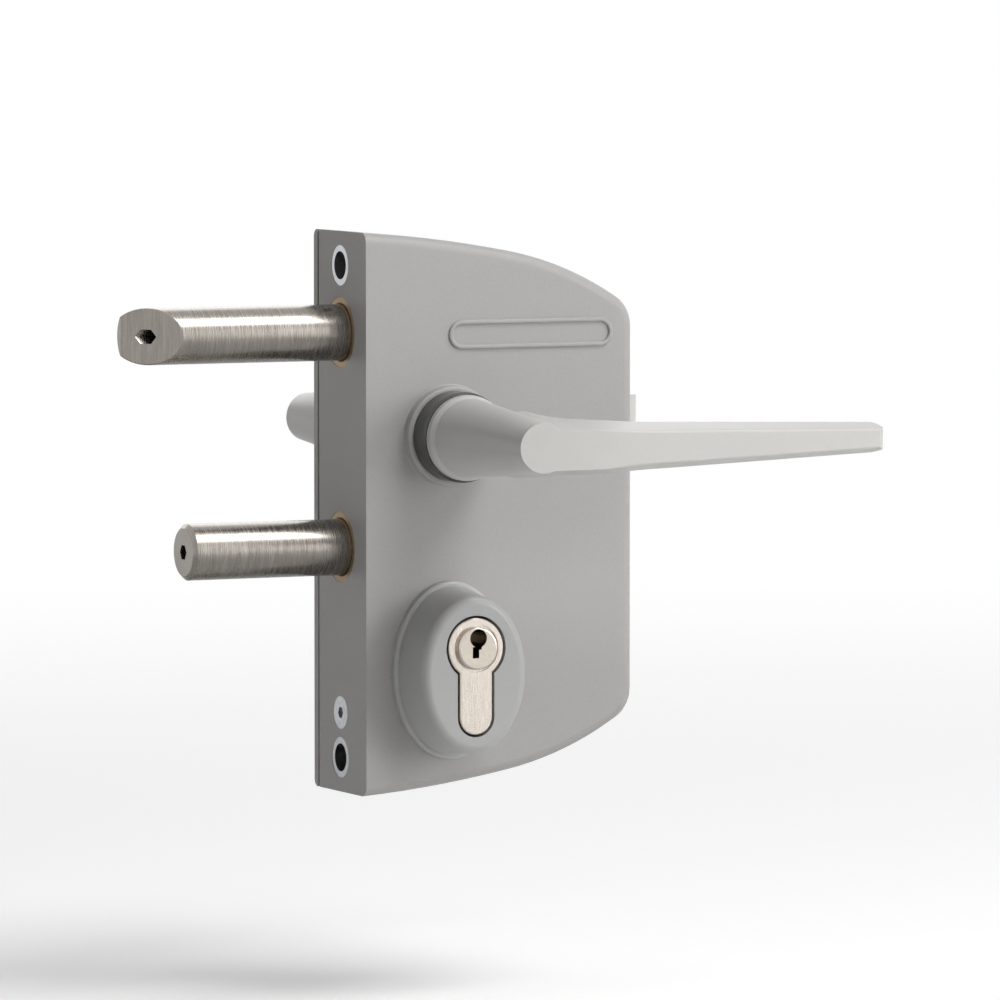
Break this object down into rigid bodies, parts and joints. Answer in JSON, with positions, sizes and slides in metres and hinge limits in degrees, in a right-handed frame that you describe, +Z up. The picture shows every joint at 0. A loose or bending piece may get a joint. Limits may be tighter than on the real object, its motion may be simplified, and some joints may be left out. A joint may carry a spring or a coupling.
{
  "type": "surface-mounted gate lock",
  "caption": "Surface-mounted gate lock with a sprung bevelled latch bolt and a chamfered dead bolt, lever handles on both sides and a double profile cylinder in oval rosettes.",
  "frame": {"origin": "midway between the two mounting bolt holes, on the face that lies against the gate", "axes": "+X away from the gate, towards the lever tip; -Y the front of the lock; +Z up"},
  "size_m": [0.1965, 0.164, 0.1596],
  "materials": {
    "cast_casing": "fine-grained grey powder coat on cast aluminium",
    "rosette_cap": "smooth satin grey coat",
    "dark_bush": "polished dark bearing plastic",
    "satin_lever": "satin, fine horizontal polish",
    "stainless_bolt": "ground stainless steel",
    "nickelled_brass": "satin nickel plate",
    "bronze_bush": "sintered bronze",
    "zinc_steel": "bright zinc plate",
    "spring_steel": "drawn spring wire"
  },
  "bodies": {
    "housing": {"back_chassis_plate": "zinc_steel", "back_cover": "cast_casing", "back_handle_bush": "dark_bush", "back_rosette": "rosette_cap", "back_rosette_screws": "zinc_steel", "bolt_guide_pin": "zinc_steel", "casing": "cast_casing", "chassis_screws": "zinc_steel", "chassis_spacers": "zinc_steel", "cover_screws": "zinc_steel", "cylinder_body": "nickelled_brass", "cylinder_fixing_screw": "zinc_steel", "dead_bolt_guide_bush": "bronze_bush", "follower_stop_pin": "zinc_steel", "front_chassis_plate": "zinc_steel", "front_handle_bush": "dark_bush", "front_rosette": "rosette_cap", "front_rosette_screws": "zinc_steel", "latch_guide_bush": "bronze_bush", "latch_rear_guide": "zinc_steel", "latch_spring": "spring_steel", "return_spring": "spring_steel", "thread_inserts": "zinc_steel"},
    "handle": {"front_lever": "satin_lever", "back_lever": "satin_lever", "spindle": "zinc_steel", "lever_grub_screws": "zinc_steel", "follower": "zinc_steel"},
    "latch": {"latch_head": "stainless_bolt", "latch_tail": "zinc_steel", "latch_stud": "zinc_steel", "latch_rod": "zinc_steel"},
    "dead_bolt": {"dead_bolt_head": "stainless_bolt", "dead_bolt_tail": "zinc_steel", "dead_bolt_stud": "zinc_steel"},
    "key_side": {"front_plug": "nickelled_brass", "front_plug_clip": "zinc_steel", "cylinder_cam": "nickelled_brass"},
    "back_key_side": {"back_plug": "nickelled_brass", "back_plug_clip": "zinc_steel"}
  },
  "joints": [
    {"name": "lever_turn", "type": "hinge", "parent": "housing", "child": "handle", "pos_m": [0.0258, 0, 0.022], "axis": [0, 1, 0], "range_deg": [0, 35], "stiffness_Nm_per_rad": 1.5, "springref_deg": -28.65, "deforming": ["return_spring"]},
    {"name": "latch_slide", "type": "slide", "parent": "housing", "child": "latch", "axis": [1, 0, 0], "range_m": [0, 0.017], "stiffness_N_per_m": 300, "springref_m": -0.02, "deforming": ["latch_spring"]},
    {"name": "key_turn", "type": "hinge", "parent": "housing", "child": "key_side", "pos_m": [0.0258, 0, -0.037], "axis": [0, -1, 0], "range_deg": [0, 120]},
    {"name": "dead_bolt_slide", "type": "slide", "parent": "housing", "child": "dead_bolt", "axis": [-1, 0, 0], "range_m": [0, 0.0215]},
    {"name": "back_key_turn", "type": "hinge", "parent": "housing", "child": "back_key_side", "pos_m": [0.0258, 0, -0.037], "axis": [0, -1, 0], "range_deg": [0, 120]}
  ],
  "couplings": [
    {"joint": "latch_slide", "follows": "lever_turn", "m_per_rad": 0.0276},
    {"joint": "key_turn", "follows": "dead_bolt_slide", "rad_per_m": 97.087}
  ]
}
